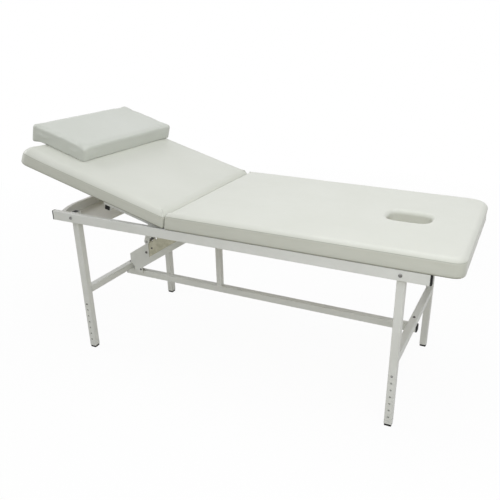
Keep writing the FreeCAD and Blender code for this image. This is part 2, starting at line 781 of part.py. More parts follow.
def backrest_cushion():
    """The backrest pad, whose end is cut to meet the main pad at the highest tilt."""
    left = hinge_x - backrest_length
    beyond = tilted(leaning_half(cushion_clearance, 1), -highest_tilt)
    pad = cushion_block(left, hinge_x + cushion_thickness, backrest_bottom, left, beyond)
    pad = pad.cut(hinge_relief(hinge_x - board_hinge_gap, hinge_x + cushion_thickness, backrest_bottom))
    pocket_left = left + board_inset
    pocket = board(pocket_left, hinge_x + cushion_thickness, backrest_bottom)
    corners = [e for e in pocket.Edges
               if abs(e.BoundBox.ZLength - board_thickness) < 0.01 and e.BoundBox.Center.x < pocket_left + 1]
    return pad.cut(pocket.makeFillet(plan_corner - board_inset, corners))


def backrest_rail(side):
    """A side tube under the backrest board, from the hinge to the cross tube."""
    ys = (side * back_rail_outer_y, side * (back_rail_outer_y - back_tube_side))
    left = hinge_x - back_cross_from_hinge - back_tube_side / 2
    return square_tube((left, hinge_x - back_rail_start), ys,
                       (backrest_bottom - back_tube_side, backrest_bottom), "x")


def backrest_cross_tube():
    centre = hinge_x - back_cross_from_hinge
    xs = (centre - back_tube_side / 2, centre + back_tube_side / 2)
    top = backrest_bottom - back_tube_side
    return square_tube(xs, (-back_cross_half, back_cross_half), (top - back_tube_side, top), "y")


def backrest_cross_plugs():
    """Black plugs in the ends of the backrest cross tube."""
    centre = hinge_x - back_cross_from_hinge
    xs = (centre - back_tube_side / 2, centre + back_tube_side / 2)
    top = backrest_bottom - back_tube_side
    zs = (top - back_tube_side, top)
    rim = (back_tube_side - back_plug_side) / 2
    flange = rounded_box((xs[0] + rim, xs[1] - rim),
                         (back_cross_half, back_cross_half + back_plug_thickness),
                         (zs[0] + rim, zs[1] - rim), bore_corner, "y")
    body = plug(xs, (back_cross_half - short_plug_depth, back_cross_half), zs, "y")
    return Part.makeCompound(both_sides(flange.fuse(body).removeSplitter()))


def prop_ears():
    """Two ears on the backrest cross tube that carry the prop's pin."""
    tube_face = hinge_x - back_cross_from_hinge + back_tube_side / 2
    top = backrest_bottom - back_tube_side - sheet
    low = top - back_tube_side + 2 * sheet
    y_from = prop_arm_inner_y + prop_arm_thickness + ear_gap
    centre = vector(prop_pivot_x, y_from, prop_pivot_z)
    strap = outline_plate([(tube_face, low), (prop_pivot_x, prop_pivot_z - ear_radius),
                           (prop_pivot_x, prop_pivot_z + ear_radius), (tube_face, top)],
                          y_from, ear_thickness)
    ear = strap.fuse(cylinder(ear_radius, centre, Y_AXIS, ear_thickness)).removeSplitter()
    hole = cylinder(prop_pin_radius + weld_gap, centre, Y_AXIS, ear_thickness)
    return Part.makeCompound(both_sides(ear.cut(hole)))


def prop_pin():
    half = prop_arm_inner_y + prop_arm_thickness + ear_gap + ear_thickness + sheet
    return cylinder(prop_pin_radius, vector(prop_pivot_x, -half, prop_pivot_z), Y_AXIS, 2 * half)


def placed_prop(shape):
    """A prop piece, drawn hanging straight down from its pin, turned to meet the rack at rest."""
    pivot = tilted(Part.Vertex(prop_pivot_x, 0, prop_pivot_z), rest_tilt).Point
    foot_x, foot_z = rack_point(foot_bar_distance(rest_tilt), 0.0)
    angle = math.degrees(math.atan2(pivot.x - foot_x, pivot.z - foot_z))
    turned = shape.copy()
    turned.rotate(vector(0, 0, 0), Y_AXIS, angle)
    turned.translate(vector(pivot.x, 0, pivot.z))
    return turned


def prop_arm(side):
    """A flat bar with round ends, from the prop's pin to its foot bar."""
    y_from = prop_arm_inner_y if side > 0 else -prop_arm_inner_y - prop_arm_thickness
    half = prop_arm_width / 2
    bar = box((-half, half), (y_from, y_from + prop_arm_thickness), (-prop_length, 0))
    for height in (0, -prop_length):
        bar = bar.fuse(cylinder(half, vector(0, y_from, height), Y_AXIS, prop_arm_thickness))
    bar = bar.removeSplitter()
    bar = bar.cut(cylinder(prop_pin_radius + prop_pin_gap, vector(0, y_from, 0), Y_AXIS, prop_arm_thickness))
    bar = bar.cut(cylinder(foot_bar_radius + weld_gap, vector(0, y_from, -prop_length), Y_AXIS,
                           prop_arm_thickness))
    return placed_prop(bar)


def prop_foot_bar():
    half = prop_arm_inner_y + prop_arm_thickness
    return placed_prop(cylinder(foot_bar_radius, vector(0, -half, -prop_length), Y_AXIS, 2 * half))


def prop_brace():
    """A round spacer welded between the two prop arms."""
    start = vector(0, -prop_arm_inner_y, -prop_brace_from_pin)
    return placed_prop(cylinder(prop_brace_radius, start, Y_AXIS, 2 * prop_arm_inner_y))


def pillow():
    """The loose head pillow, lying a little askew on the backrest."""
    centre_x = hinge_x - pillow_from_hinge
    bottom = backrest_bottom + cushion_thickness + pillow_gap
    block = rounded_box((centre_x - pillow_depth / 2, centre_x + pillow_depth / 2),
                        (-pillow_length / 2, pillow_length / 2), (bottom, bottom + pillow_thickness),
                        pillow_corner)
    edges = edges_at_height(block, bottom) + edges_at_height(block, bottom + pillow_thickness)
    block = block.makeFillet(pillow_edge, edges)
    block.rotate(vector(centre_x, 0, 0), Z_AXIS, pillow_twist)
    block.translate(Y_AXIS * pillow_side_shift)
    return block


def build_nodes():
    """Every node of the table at rest, by name."""
    nodes = {
        "head_bow": head_bow(),
        "head_panel": head_panel(),
        "rail_end_caps": rail_end_caps(),
        "hinge_cross_tube": cross_tube(hinge_tube_left, hinge_tube_side, hinge_tube_side),
        "middle_cross_tube": cross_tube(middle_tube_left, rail_thickness, rail_height),
        "foot_cross_tube": cross_tube(foot_tube_left, rail_thickness, rail_height),
        "leg_top_plugs": leg_top_plugs(),
        "leg_bolts": leg_bolts(),
        "stretcher": stretcher(),
        "stretcher_caps": stretcher_caps(),
        "stretcher_bolts": stretcher_bolts(),
        "centre_post": centre_post(),
        "rack_spacers": rack_spacers(),
        "rack_bolts": rack_bolts(),
        "rack_stiffener": rack_stiffener(),
        "hinge_lugs": hinge_lugs(),
        "hinge_pins": hinge_pins(),
        "main_board": main_board(),
        "main_cushion": main_cushion(),
    }
    moved = {
        "hinge_forks": hinge_forks(),
        "backrest_board": backrest_board(),
        "backrest_cushion": backrest_cushion(),
        "backrest_cross_tube": backrest_cross_tube(),
        "backrest_cross_plugs": backrest_cross_plugs(),
        "prop_ears": prop_ears(),
        "prop_pin": prop_pin(),
        "pillow": pillow(),
    }
    for name, side in SIDES.items():
        nodes["rail_" + name] = rail(side)
        nodes["rack_plate_" + name] = rack_plate(name)
        nodes["prop_arm_" + name] = prop_arm(side)
        moved["backrest_rail_" + name] = backrest_rail(side)
        for end, left in ENDS.items():
            corner = name + "_" + end
            nodes["leg_tube_" + corner] = leg_tube(left, side)
            nodes["inner_leg_" + corner] = inner_leg(left, side)
            nodes["foot_" + corner] = foot(left, side)
            nodes["leg_button_" + corner] = leg_button(left, side)
            nodes["leg_clip_" + corner] = leg_clip(left, side)
    for end, left in ENDS.items():
        nodes["leg_cross_tube_" + end] = leg_cross_tube(left)
    nodes["prop_foot_bar"] = prop_foot_bar()
    nodes["prop_brace"] = prop_brace()
    for name, shape in moved.items():
        nodes[name] = tilted(shape, rest_tilt)
    return nodes


def centring_shift(nodes):
    """How far X moves so that the origin lies under the middle of the whole table."""
    widest = ("main_cushion", "backrest_cushion", "pillow")
    boxes = [nodes[name].optimalBoundingBox(False) for name in widest]
    return -(min(b.XMin for b in boxes) + max(b.XMax for b in boxes)) / 2


def main():
    os.makedirs("parts", exist_ok=True)
    nodes = build_nodes()
    shift = centring_shift(nodes)
    for name, shape in nodes.items():
        shape.translate(X_AXIS * shift)
        shape.exportStep(os.path.join("parts", name + ".step"))
    print(len(nodes), "nodes, X shift", round(shift, 4))
    return nodes, shift


if __name__ == "__main__":
    main()
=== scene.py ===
import json
import math
import bmesh
import bpy
from mathutils import Matrix, Vector, noise

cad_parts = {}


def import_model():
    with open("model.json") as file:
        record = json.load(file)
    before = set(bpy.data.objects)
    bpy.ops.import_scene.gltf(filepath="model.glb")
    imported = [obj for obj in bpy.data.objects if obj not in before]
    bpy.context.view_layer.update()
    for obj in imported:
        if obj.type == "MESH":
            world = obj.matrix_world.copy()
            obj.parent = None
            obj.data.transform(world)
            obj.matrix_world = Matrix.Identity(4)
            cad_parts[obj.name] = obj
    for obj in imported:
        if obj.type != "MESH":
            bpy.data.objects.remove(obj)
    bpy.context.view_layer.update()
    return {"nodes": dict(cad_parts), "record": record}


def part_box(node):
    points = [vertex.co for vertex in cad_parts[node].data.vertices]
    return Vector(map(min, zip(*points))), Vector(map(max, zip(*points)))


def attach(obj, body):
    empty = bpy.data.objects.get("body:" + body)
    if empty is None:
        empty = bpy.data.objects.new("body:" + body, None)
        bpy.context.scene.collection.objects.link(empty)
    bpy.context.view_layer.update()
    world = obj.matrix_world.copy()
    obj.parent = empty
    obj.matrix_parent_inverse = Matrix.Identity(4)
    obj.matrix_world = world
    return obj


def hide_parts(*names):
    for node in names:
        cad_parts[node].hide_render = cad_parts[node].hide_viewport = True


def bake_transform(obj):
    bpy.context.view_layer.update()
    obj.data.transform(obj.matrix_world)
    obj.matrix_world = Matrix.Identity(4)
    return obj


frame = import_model()

# The CAD source measures X from the rails' head end, so adding this end's X puts one of
# its lengths into this frame.
rail_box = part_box("rail_near")
rail_left = rail_box[0][0]
rail_top = rail_box[1][2]

# Camera, as fitted to the photograph
camera_place = (rail_left + 1.8437, -2.1380, 1.4426)
camera_yaw = math.radians(23.463)
camera_pitch = math.radians(24.418)
camera_roll = math.radians(0.433)
camera_focal_px = 594.96
camera_centre_px = (286.34, 274.68)
photo_side_px = 500
sensor_width = 36.0

# Backrest hinge
hinge_x = rail_left + 0.553
hinge_z = 0.654
rest_tilt = math.radians(15.0)

# Cushions
half_width = 0.355
pad_thickness = 0.069
main_left = rail_left + 0.551
main_right = rail_left + 1.6735
main_lean = math.radians(9.9)
back_left = hinge_x - 0.731
back_right = hinge_x - 0.0035
back_lean = math.radians(-5.1)
head_lean = math.radians(13)
seat_gap = 0.0005
back_bottom = rail_top + seat_gap
plan_corner_near = 0.040
plan_corner_far = 0.080
end_skew = 0.009
head_corner = 0.046
hinge_corner = 0.010
roll_turn = math.radians(62)
roll_drop = 0.0145
hinge_roll_drop = 0.021
head_roll_drop = 0.027
back_roll_drop = 0.022
seam_width = 0.0030
seam_depth = 0.0016
bottom_round = 0.009
hem_width = 0.032
hem_drop = 0.0003
crown = 0.0036
crown_reach = 0.055
corner_bulge = 0.008
bulge_reach = 0.045
bulge_inset = 0.028
pleat_depth = 0.0007
pleat_corner = 0.050
pleats = 22
lean_reach = 0.12
side_pull = 0.0022
side_skin = 0.012
side_top = 0.97
top_start = 0.80
lining_rise = 0.0006
lining_top = 0.02
grid_step = 0.015
main_seed = 1.3
back_seed = 8.1

# Unevenness of the covers: how far it goes, and how many waves it has to a metre
slow_rise, slow_scale = 0.0007, 5.0
quick_rise, quick_scale = 0.0005, 14.0
side_wave, side_wave_scale = 0.0008, 16.0
fold_wave, fold_wave_scale = 0.0006, 20.0
fold_squeeze = 3
pillow_rise, pillow_rise_scale = 0.0012, 7.0

# Face hole
hole_x = rail_left + 1.420
hole_y = -0.002
hole_core = (0.040, 0.016)
hole_radius = 0.042
hole_lip = 0.015
hole_foot_round = 0.006
hole_waist = 0.0022
hole_sink = 0.0030
hole_sink_reach = 0.030
patch_margin = 0.045

# Pillow
pillow_x = hinge_x - 0.610
pillow_y = 0.051
pillow_twist = math.radians(-1.8)
pillow_half = (0.150, 0.305)
pillow_thickness = 0.064
pillow_gap = 0.0012
pillow_bottom = back_bottom + pad_thickness + pillow_gap
pillow_start = 0.003
pillow_corner = 0.013
pillow_drop = 0.004
pillow_cap = 0.005
dent_depth = 0.013
dent_reach = 0.022
pillow_droop = 0.012
droop_start = 0.035
droop_reach = 0.065
pillow_step = 0.011
pillow_voxel = 0.005
pillow_pressure = 4.0
pillow_seed = 4.2
pillow_upper = 0.25
# Painted shade in the crevice along the pillow's bottom, and the height over which it fades
crevice_shade = 0.9
crevice_height = 0.08

# Rows of points: offsets from a pad's edges and up its side
FINE = (0.0, 0.003, 0.006, 0.010, 0.014, 0.019, 0.027, 0.038, 0.055)
PILLOW_FINE = (0.0, 0.0025, 0.005, 0.009, 0.015, 0.023, 0.033)
LOW_ROWS = (0.0, 0.002, 0.005, 0.009, 0.013)
SIDE_SHARES = (0.2, 0.4, 0.6, 0.8, 0.93, 1.0)
ROLL_SHARES = (0.0, 0.12, 0.30, 0.5, 0.75, 1.0)
# Where rings of points lie between the face hole's rim and the even rows round it
RIM_SHARES = (0.66, 0.33)
# How much painted shade darkens a row: the seam's groove, the hem and the foot of the side, darker towards
# the bottom
LEVEL_PAINTED_SHADE = {("seam", 0.0): 0.55, ("low", 0.0): 1.0, ("low", 0.002): 0.8, ("low", 0.005): 0.35,
              ("low", 0.009): 0.18, ("low", 0.013): 0.13, ("side", 0.2): 0.08, ("side", 0.4): 0.03}
HOLE_TURN_STEPS = 6
HOLE_WALL_STEPS = 7
SIM_FRAMES = 20
CLOTH_QUALITY = 6
CLOTH_MASS = 0.3

BODY = "frame"

# Colours, as linear red, green and blue
WHITE = (1.0, 1.0, 1.0, 1)
# Painted shade: the colour that the seam, the hem, the foot of the pad sides and the pillow's crevice are
# darkened towards
painted_shade_colour = (0.22, 0.22, 0.17, 1)
cushion_pale, cushion_deep = (0.690, 0.702, 0.645), (0.662, 0.675, 0.614)
pillow_pale, pillow_deep = (0.632, 0.652, 0.605), (0.604, 0.626, 0.573)
coat_pale, coat_deep = (0.790, 0.800, 0.784), (0.740, 0.750, 0.728)
ply_dark, ply_mid, ply_light = (0.60, 0.54, 0.42), (0.70, 0.64, 0.52), (0.75, 0.70, 0.59)
plastic_black, plastic_dust = (0.006, 0.006, 0.006), (0.022, 0.021, 0.020)
rubber_black, rubber_dust = (0.014, 0.013, 0.012), (0.07, 0.062, 0.052)
dark_steel, dark_tarnish = (0.16, 0.155, 0.15), (0.07, 0.065, 0.06)
bright_steel, bright_tarnish = (0.30, 0.30, 0.295), (0.17, 0.165, 0.155)
# Plated steel of the inner legs: a real finish, whose darker grey also stands in for the shade seen
# through the outer legs' holes
plated_steel_and_hole_shade, plated_tarnish = (0.42, 0.43, 0.40), (0.30, 0.31, 0.28)
yellow_zinc, zinc_tarnish = (0.62, 0.60, 0.49), (0.44, 0.43, 0.32)
floor_bounce, floor_seen = (0.60, 0.588, 0.495, 1), (0.96, 0.96, 0.96, 1)
sky_tint = (0.97, 0.985, 1.0, 1)

# Surfaces
vinyl_rough = (0.27, 0.43)
vinyl_specular = 0.30
vinyl_coat = 0.07
vinyl_coat_rough = 0.25
coat_rough = (0.34, 0.46)
moulded_specular = 0.22
plywood_rough = 0.65
tarnish_rough = 0.12
floor_rough = 0.9
floor_specular = 0.1

# Stage: the floor's half side, where its glow starts and is full, and the sky's strength
floor_half = 30.0
glow_near, glow_far = 1.0, 3.5
glow_low, glow_high = 0.95, 1.0
sky_strength = 0.36


def new_object(name, bm):
    """A smooth-shaded object in the scene from a finished bmesh."""
    mesh = bpy.data.meshes.new(name)
    bm.to_mesh(mesh)
    bm.free()
    for polygon in mesh.polygons:
        polygon.use_smooth = True
    obj = bpy.data.objects.new(name, mesh)
    bpy.context.scene.collection.objects.link(obj)
    return obj


def spaced(low, high, fine, step):
    """Coordinates from low to high, with the fine offsets at both ends and even steps between."""
    start = low + fine[-1]
    end = high - fine[-1]
    count = max(1, round((end - start) / step))
    middle = [start + (end - start) * k / count for k in range(count + 1)]
    return [low + f for f in fine[:-1]] + middle + [high - f for f in reversed(fine[:-1])]


def snapped(values, targets):
    """The values with the nearest one to each target moved onto it."""
    values = list(values)
    for target in targets:
        nearest = min(range(1, len(values) - 1), key=lambda k: abs(values[k] - target))
        values[nearest] = target
    return values


def from_hole(x, y):
    """The point's nearest place on the face hole's straight core, and its distance beyond the rim."""
    x, y = x - hole_x, y - hole_y
    core_x = max(-hole_core[0], min(hole_core[0], x))
    core_y = max(-hole_core[1], min(hole_core[1], y))
    return core_x, core_y, math.hypot(x - core_x, y - core_y) - hole_radius


class Pad:
    """A box grid that is bent into an upholstered pad: rounded plan corners, a top that rolls
    down to the seam, sides between the seam and a rounded foot."""

    def __init__(self, xs, ys, low, high, corners, drops, low_round, patch=None):
        self.xs, self.ys = xs, ys
        self.low, self.high = low, high
        self.levels = [("low", height) for height in LOW_ROWS]
        self.levels += [("side", share) for share in SIDE_SHARES]
        self.levels.append(("seam", 0.0))
        self.levels += [("roll", share) for share in ROLL_SHARES]
        self.corners = corners
        self.drops = drops
        self.low_round = low_round
        self.patch = patch
        self.bm = bmesh.new()
        # Painted shade for each point, read by the vinyl material
        self.painted_shade = self.bm.verts.layers.float.new("painted_shade")
        self.verts = {}

    def plan(self, x, y):
        """(x, y, inset, outward x, outward y, seam drop) after the plan corners are rounded."""
        x0, x1 = self.xs[0], self.xs[-1]
        y0, y1 = self.ys[0], self.ys[-1]
        low_end = x - x0 < x1 - x
        end_sign = -1 if low_end else 1
        side_sign = -1 if y - y0 < y1 - y else 1
        near, far = self.corners[0] if low_end else self.corners[1]
        corner = near if side_sign < 0 else far
        end_in = min(x - x0, x1 - x)
        side_in = min(y - y0, y1 - y)
        inset = min(end_in, side_in)
        end_drop = self.drops[0] if low_end else self.drops[1]
        side_drop = self.drops[2]
        if end_in < corner and side_in < corner:
            dx, dy = corner - end_in, corner - side_in
            length = math.hypot(dx, dy)
            if length > 1e-9:
                reach = max(dx, dy)
                nx, ny = dx / length, dy / length
                share = nx * nx
                drop = end_drop * share + side_drop * (1 - share)
                cx = (x0 + corner) if low_end else (x1 - corner)
                cy = (y0 + corner) if side_sign < 0 else (y1 - corner)
                return (cx + end_sign * nx * reach, cy + side_sign * ny * reach, inset,
                        end_sign * nx, side_sign * ny, drop)
        if end_in < side_in:
            return x, y, inset, end_sign, 0.0, end_drop
        return x, y, inset, 0.0, side_sign, side_drop

    def level_height(self, level, drop):
        """The height of a row of points before the edges are rounded."""
        kind, value = level
        seam = self.high - drop
        half = seam_width / 2
        if kind == "low":
            return self.low + value
        if kind == "side":
            start = self.low + LOW_ROWS[-1]
            return start + (seam - half - start) * value
        if kind == "seam":
            return seam
        return seam + half + (drop - half) * value

    def place(self, x, y, level):
        """A grid point bent onto the pad: the top rolls down to the seam, the foot is rounded."""
        px, py, inset, nx, ny, drop = self.plan(x, y)
        z = self.level_height(level, drop)
        new_inset, new_z = inset, z
        radius = drop / (1 - math.cos(roll_turn))
        run = radius * math.sin(roll_turn)
        if level[0] == "seam":
            new_inset = inset + seam_depth
        elif level[0] == "roll" and inset < run:
            turn = roll_turn * (0.5 * (1 - inset / run) + 0.5 * (self.high - z) / drop)
            new_inset = run - radius * math.sin(turn)
            new_z = self.high - radius * (1 - math.cos(turn))
        elif z < self.low + self.low_round and inset < self.low_round:
            da, dz = inset - self.low_round, z - (self.low + self.low_round)
            length = math.hypot(da, dz)
            new_inset = self.low_round + self.low_round * da / length
            new_z = self.low + self.low_round + self.low_round * dz / length
        px -= nx * (new_inset - inset)
        py -= ny * (new_inset - inset)
        return Vector((px, py, new_z))

    def vert(self, i, j, k):
        key = (i, j, k)
        if key not in self.verts:
            level = self.levels[k]
            vert = self.bm.verts.new(self.place(self.xs[i], self.ys[j], level))
            # Painted shade for the point, by its row's level
            vert[self.painted_shade] = LEVEL_PAINTED_SHADE.get(level, 0.0)
            self.verts[key] = vert
        return self.verts[key]

    def in_patch(self, i, j):
        if self.patch is None:
            return False
        i0, i1, j0, j1 = self.patch
        return i0 <= i < i1 and j0 <= j < j1

    def build(self):
        nx, ny, nz = len(self.xs) - 1, len(self.ys) - 1, len(self.levels) - 1
        face = self.bm.faces.new
        for i in range(nx):
            for j in range(ny):
                if self.in_patch(i, j):
                    continue
                face([self.vert(i, j, nz), self.vert(i + 1, j, nz), self.vert(i + 1, j + 1, nz),
                      self.vert(i, j + 1, nz)])
                face([self.vert(i, j, 0), self.vert(i, j + 1, 0), self.vert(i + 1, j + 1, 0),
                      self.vert(i + 1, j, 0)])
        for i in range(nx):
            for k in range(nz):
                face([self.vert(i, 0, k), self.vert(i + 1, 0, k), self.vert(i + 1, 0, k + 1),
                      self.vert(i, 0, k + 1)])
                face([self.vert(i, ny, k), self.vert(i, ny, k + 1), self.vert(i + 1, ny, k + 1),
                      self.vert(i + 1, ny, k)])
        for j in range(ny):
            for k in range(nz):
                face([self.vert(0, j, k), self.vert(0, j, k + 1), self.vert(0, j + 1, k + 1),
                      self.vert(0, j + 1, k)])
                face([self.vert(nx, j, k), self.vert(nx, j + 1, k), self.vert(nx, j + 1, k + 1),
                      self.vert(nx, j, k + 1)])
        if self.patch is not None:
            self.build_hole()
        return self.bm

    def build_hole(self):
        """Rings from the patch's border into the face hole, down its wall and out again below."""
        i0, i1, j0, j1 = self.patch
        border = [(i, j0) for i in range(i0, i1)] + [(i1, j) for j in range(j0, j1)]
        border += [(i, j1) for i in range(i1, i0, -1)] + [(i0, j) for j in range(j1, j0, -1)]
        nz = len(self.levels) - 1
        wall_top, wall_foot = self.high - hole_lip, self.low + hole_foot_round
        profile = [("top", share) for share in (*RIM_SHARES, 0.0)]
        for step in range(1, HOLE_TURN_STEPS + 1):
            angle = math.pi / 2 * step / HOLE_TURN_STEPS
            profile.append((hole_lip * (1 - math.sin(angle)), wall_top + hole_lip * math.cos(angle)))
        for step in range(1, HOLE_WALL_STEPS + 1):
            share = step / HOLE_WALL_STEPS
            waist = hole_waist * math.sin(math.pi * share)
            profile.append((waist, wall_top + (wall_foot - wall_top) * share))
        for step in range(1, HOLE_TURN_STEPS + 1):
            angle = math.pi / 2 * step / HOLE_TURN_STEPS
            away = hole_foot_round * (1 - math.cos(angle))
            profile.append((away, wall_foot - hole_foot_round * math.sin(angle)))
        profile += [("foot", share) for share in reversed(RIM_SHARES)]
        rings = [[self.vert(i, j, nz) for i, j in border]]
        for kind, value in profile:
            rings.append([self.hole_vert(i, j, kind, value) for i, j in border])
        rings.append([self.vert(i, j, 0) for i, j in border])
        count = len(border)
        for first, second in zip(rings, rings[1:]):
            for n in range(count):
                m = (n + 1) % count
                self.bm.faces.new([first[n], first[m], second[m], second[n]])

    def hole_vert(self, i, j, kind, value):
        """A point between the patch's border and the hole, or at a distance and height on its wall."""
        core_x, core_y, far = from_hole(self.xs[i], self.ys[j])
        length = far + hole_radius
        ux = (self.xs[i] - hole_x - core_x) / length
        uy = (self.ys[j] - hole_y - core_y) / length
        if kind == "top":
            away, z = hole_lip + (far - hole_lip) * value, self.high
        elif kind == "foot":
            away, z = hole_foot_round + (far - hole_foot_round) * value, self.low
        else:
            away, z = kind, value
        reach = hole_radius + away
        return self.bm.verts.new((hole_x + core_x + ux * reach, hole_y + core_y + uy * reach, z))


def swell(value):
    """0 at 0 and near 1 from 3 on, with a soft start."""
    return 1 - math.exp(-value * value)


def ripple(point, scale, seed):
    """A repeatable wavy number between about -1 and 1."""
    return noise.noise(Vector(point) * scale + Vector((seed, seed * 1.7, seed * 0.6)))


def clamp(value):
    return max(0.0, min(1.0, value))


def lean_end(obj, low, end_x, lean):
    """Shears a pad near one end, so that its end face leans."""
    for vertex in obj.data.vertices:
        share = max(0.0, 1 - abs(vertex.co.x - end_x) / lean_reach)
        vertex.co.x += math.tan(lean) * (vertex.co.z - low) * share


def dress_pad(obj, low, high, bounds_x, drop, seed, hole=False):
    """Gives a flat pad its crown, its pulled sides, its soft unevenness and its hem underneath."""
    x0, x1 = bounds_x
    seam_share = (high - drop - low) / (high - low)
    for vertex in obj.data.vertices:
        co = vertex.co
        height = (co.z - low) / (high - low)
        end_in = min(co.x - x0, x1 - co.x)
        side_in = half_width - abs(co.y)
        inset = max(0.0, min(end_in, side_in))
        top = clamp((height - top_start) / (1 - top_start))
        rise = crown * swell(inset / crown_reach)
        rise += slow_rise * ripple((co.x, co.y, 0), slow_scale, seed)
        rise += quick_rise * ripple((co.x, co.y, 0), quick_scale, seed + 3)
        if hole:
            away = from_hole(co.x, co.y)[2]
            rise -= hole_sink * math.exp(-max(0.0, away) / hole_sink_reach)
        co.z += rise * top
        if inset < side_skin and height < side_top:
            waist = math.sin(math.pi * clamp(height / seam_share))
            wave = side_wave * ripple((co.x, co.y, co.z * 2), side_wave_scale, seed + 5)
            pull = waist * (side_pull + wave)
            along = (co.x * fold_squeeze, co.y * fold_squeeze, co.z)
            pull += fold_wave * waist * ripple(along, fold_wave_scale, seed + 7)
            if max(end_in, side_in) < pleat_corner:
                angle = math.atan2(pleat_corner - end_in, pleat_corner - side_in)
                pull += pleat_depth * waist * math.sin(pleats * angle)
            if side_in < end_in:
                co.y -= math.copysign(pull, co.y)
            elif co.x > (x0 + x1) / 2:
                co.x -= pull
            else:
                co.x += pull
        if height < lining_top:
            under = min(end_in, side_in)
            if hole:
                under = min(under, max(0.0, away))
            co.z = low + lining_rise if under > hem_width else low - hem_drop


def tilt_about_hinge(obj):
    """Turns a flat-built piece about the hinge to the backrest's angle at rest."""
    pivot = Vector((hinge_x, 0, hinge_z))
    turn = Matrix.Translation(pivot) @ Matrix.Rotation(rest_tilt, 4, "Y") @ Matrix.Translation(-pivot)
    obj.data.transform(turn)


def smooth(obj):
    """One level of subdivision, which rounds the rows into soft curves."""
    modifier = obj.modifiers.new("Soften", "SUBSURF")
    modifier.levels = 1
    modifier.render_levels = 1


def main_pad():
    """The long pad with the face hole: its foot end is rounder at the far side and a little skewed."""
    xs = spaced(main_left, main_right, FINE, grid_step)
    ys = spaced(-half_width, half_width, FINE, grid_step)
    half_x = hole_core[0] + hole_radius + patch_margin
    half_y = hole_core[1] + hole_radius + patch_margin
    xs = snapped(xs, (hole_x - half_x, hole_x + half_x))
    ys = snapped(ys, (hole_y - half_y, hole_y + half_y))
    patch = (xs.index(hole_x - half_x), xs.index(hole_x + half_x),
             ys.index(hole_y - half_y), ys.index(hole_y + half_y))
    low, high = rail_top, rail_top + pad_thickness
    corners = ((hinge_corner, hinge_corner), (plan_corner_near, plan_corner_far))
    drops = (hinge_roll_drop, roll_drop, roll_drop)
    pad = Pad(xs, ys, low, high, corners, drops, bottom_round, patch)
    obj = new_object("main_pad", pad.build())
    dress_pad(obj, low, high, (main_left, main_right), roll_drop, main_seed, hole=True)
    lean_end(obj, low, main_left, main_lean)
    for vertex in obj.data.vertices:
        share = max(0.0, 1 - (main_right - vertex.co.x) / lean_reach)
        vertex.co.x += end_skew * share * (0.5 - 0.5 * vertex.co.y / half_width)
    smooth(obj)
    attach(obj, BODY)
    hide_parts("main_cushion")
    return obj


def back_pad():
    """The backrest's pad, with deep rolled edges and a leaning head end."""
    xs = spaced(back_left, back_right, FINE, grid_step)
    ys = spaced(-half_width, half_width, FINE, grid_step)
    low, high = back_bottom, back_bottom + pad_thickness
    corners = ((head_corner, head_corner), (hinge_corner, hinge_corner))
    drops = (head_roll_drop, hinge_roll_drop, back_roll_drop)
    pad = Pad(xs, ys, low, high, corners, drops, bottom_round)
    obj = new_object("backrest_pad", pad.build())
    dress_pad(obj, low, high, (back_left, back_right), back_roll_drop, back_seed)
    lean_end(obj, low, back_right, back_lean)
    lean_end(obj, low, back_left, head_lean)
    for vertex in obj.data.vertices:
        co = vertex.co
        away = math.hypot(co.x - back_left - bulge_inset, co.y + half_width - bulge_inset)
        height = clamp((co.z - low) / pad_thickness)
        bulge = math.exp(-away * away / (2 * bulge_reach * bulge_reach))
        co.z += corner_bulge * height * height * bulge
    tilt_about_hinge(obj)
    smooth(obj)
    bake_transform(obj)
    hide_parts("backrest_cushion")
    return obj


def even_mesh(obj, size):
    """Remakes the piece's mesh with even faces of about the given size."""
    modifier = obj.modifiers.new("Even", "REMESH")
    modifier.mode = "VOXEL"
    modifier.voxel_size = size
    evaluated = obj.evaluated_get(bpy.context.evaluated_depsgraph_get())
    mesh = bpy.data.meshes.new_from_object(evaluated)
    obj.modifiers.remove(modifier)
    obj.data = mesh
    for polygon in mesh.polygons:
        polygon.use_smooth = True


def inflate(obj, pressure, cap):
    """Lets the cover swell as cloth under a little pressure from inside."""
    scene = bpy.context.scene
    modifier = obj.modifiers.new("Cover", "CLOTH")
    cloth = modifier.settings
    cloth.quality = CLOTH_QUALITY
    cloth.mass = CLOTH_MASS
    cloth.use_pressure = True
    cloth.uniform_pressure_force = pressure
    cloth.effector_weights.gravity = 0
    modifier.point_cache.frame_start = 1
    modifier.point_cache.frame_end = SIM_FRAMES
    for step in range(1, SIM_FRAMES + 1):
        scene.frame_set(step)
    swollen = obj.evaluated_get(bpy.context.evaluated_depsgraph_get()).data
    moved = [vertex.co.copy() for vertex in swollen.vertices]
    obj.modifiers.remove(modifier)
    scene.frame_set(1)
    for vertex, target in zip(obj.data.vertices, moved):
        step = target - vertex.co
        if step.length > cap:
            step.length = cap
        vertex.co += step


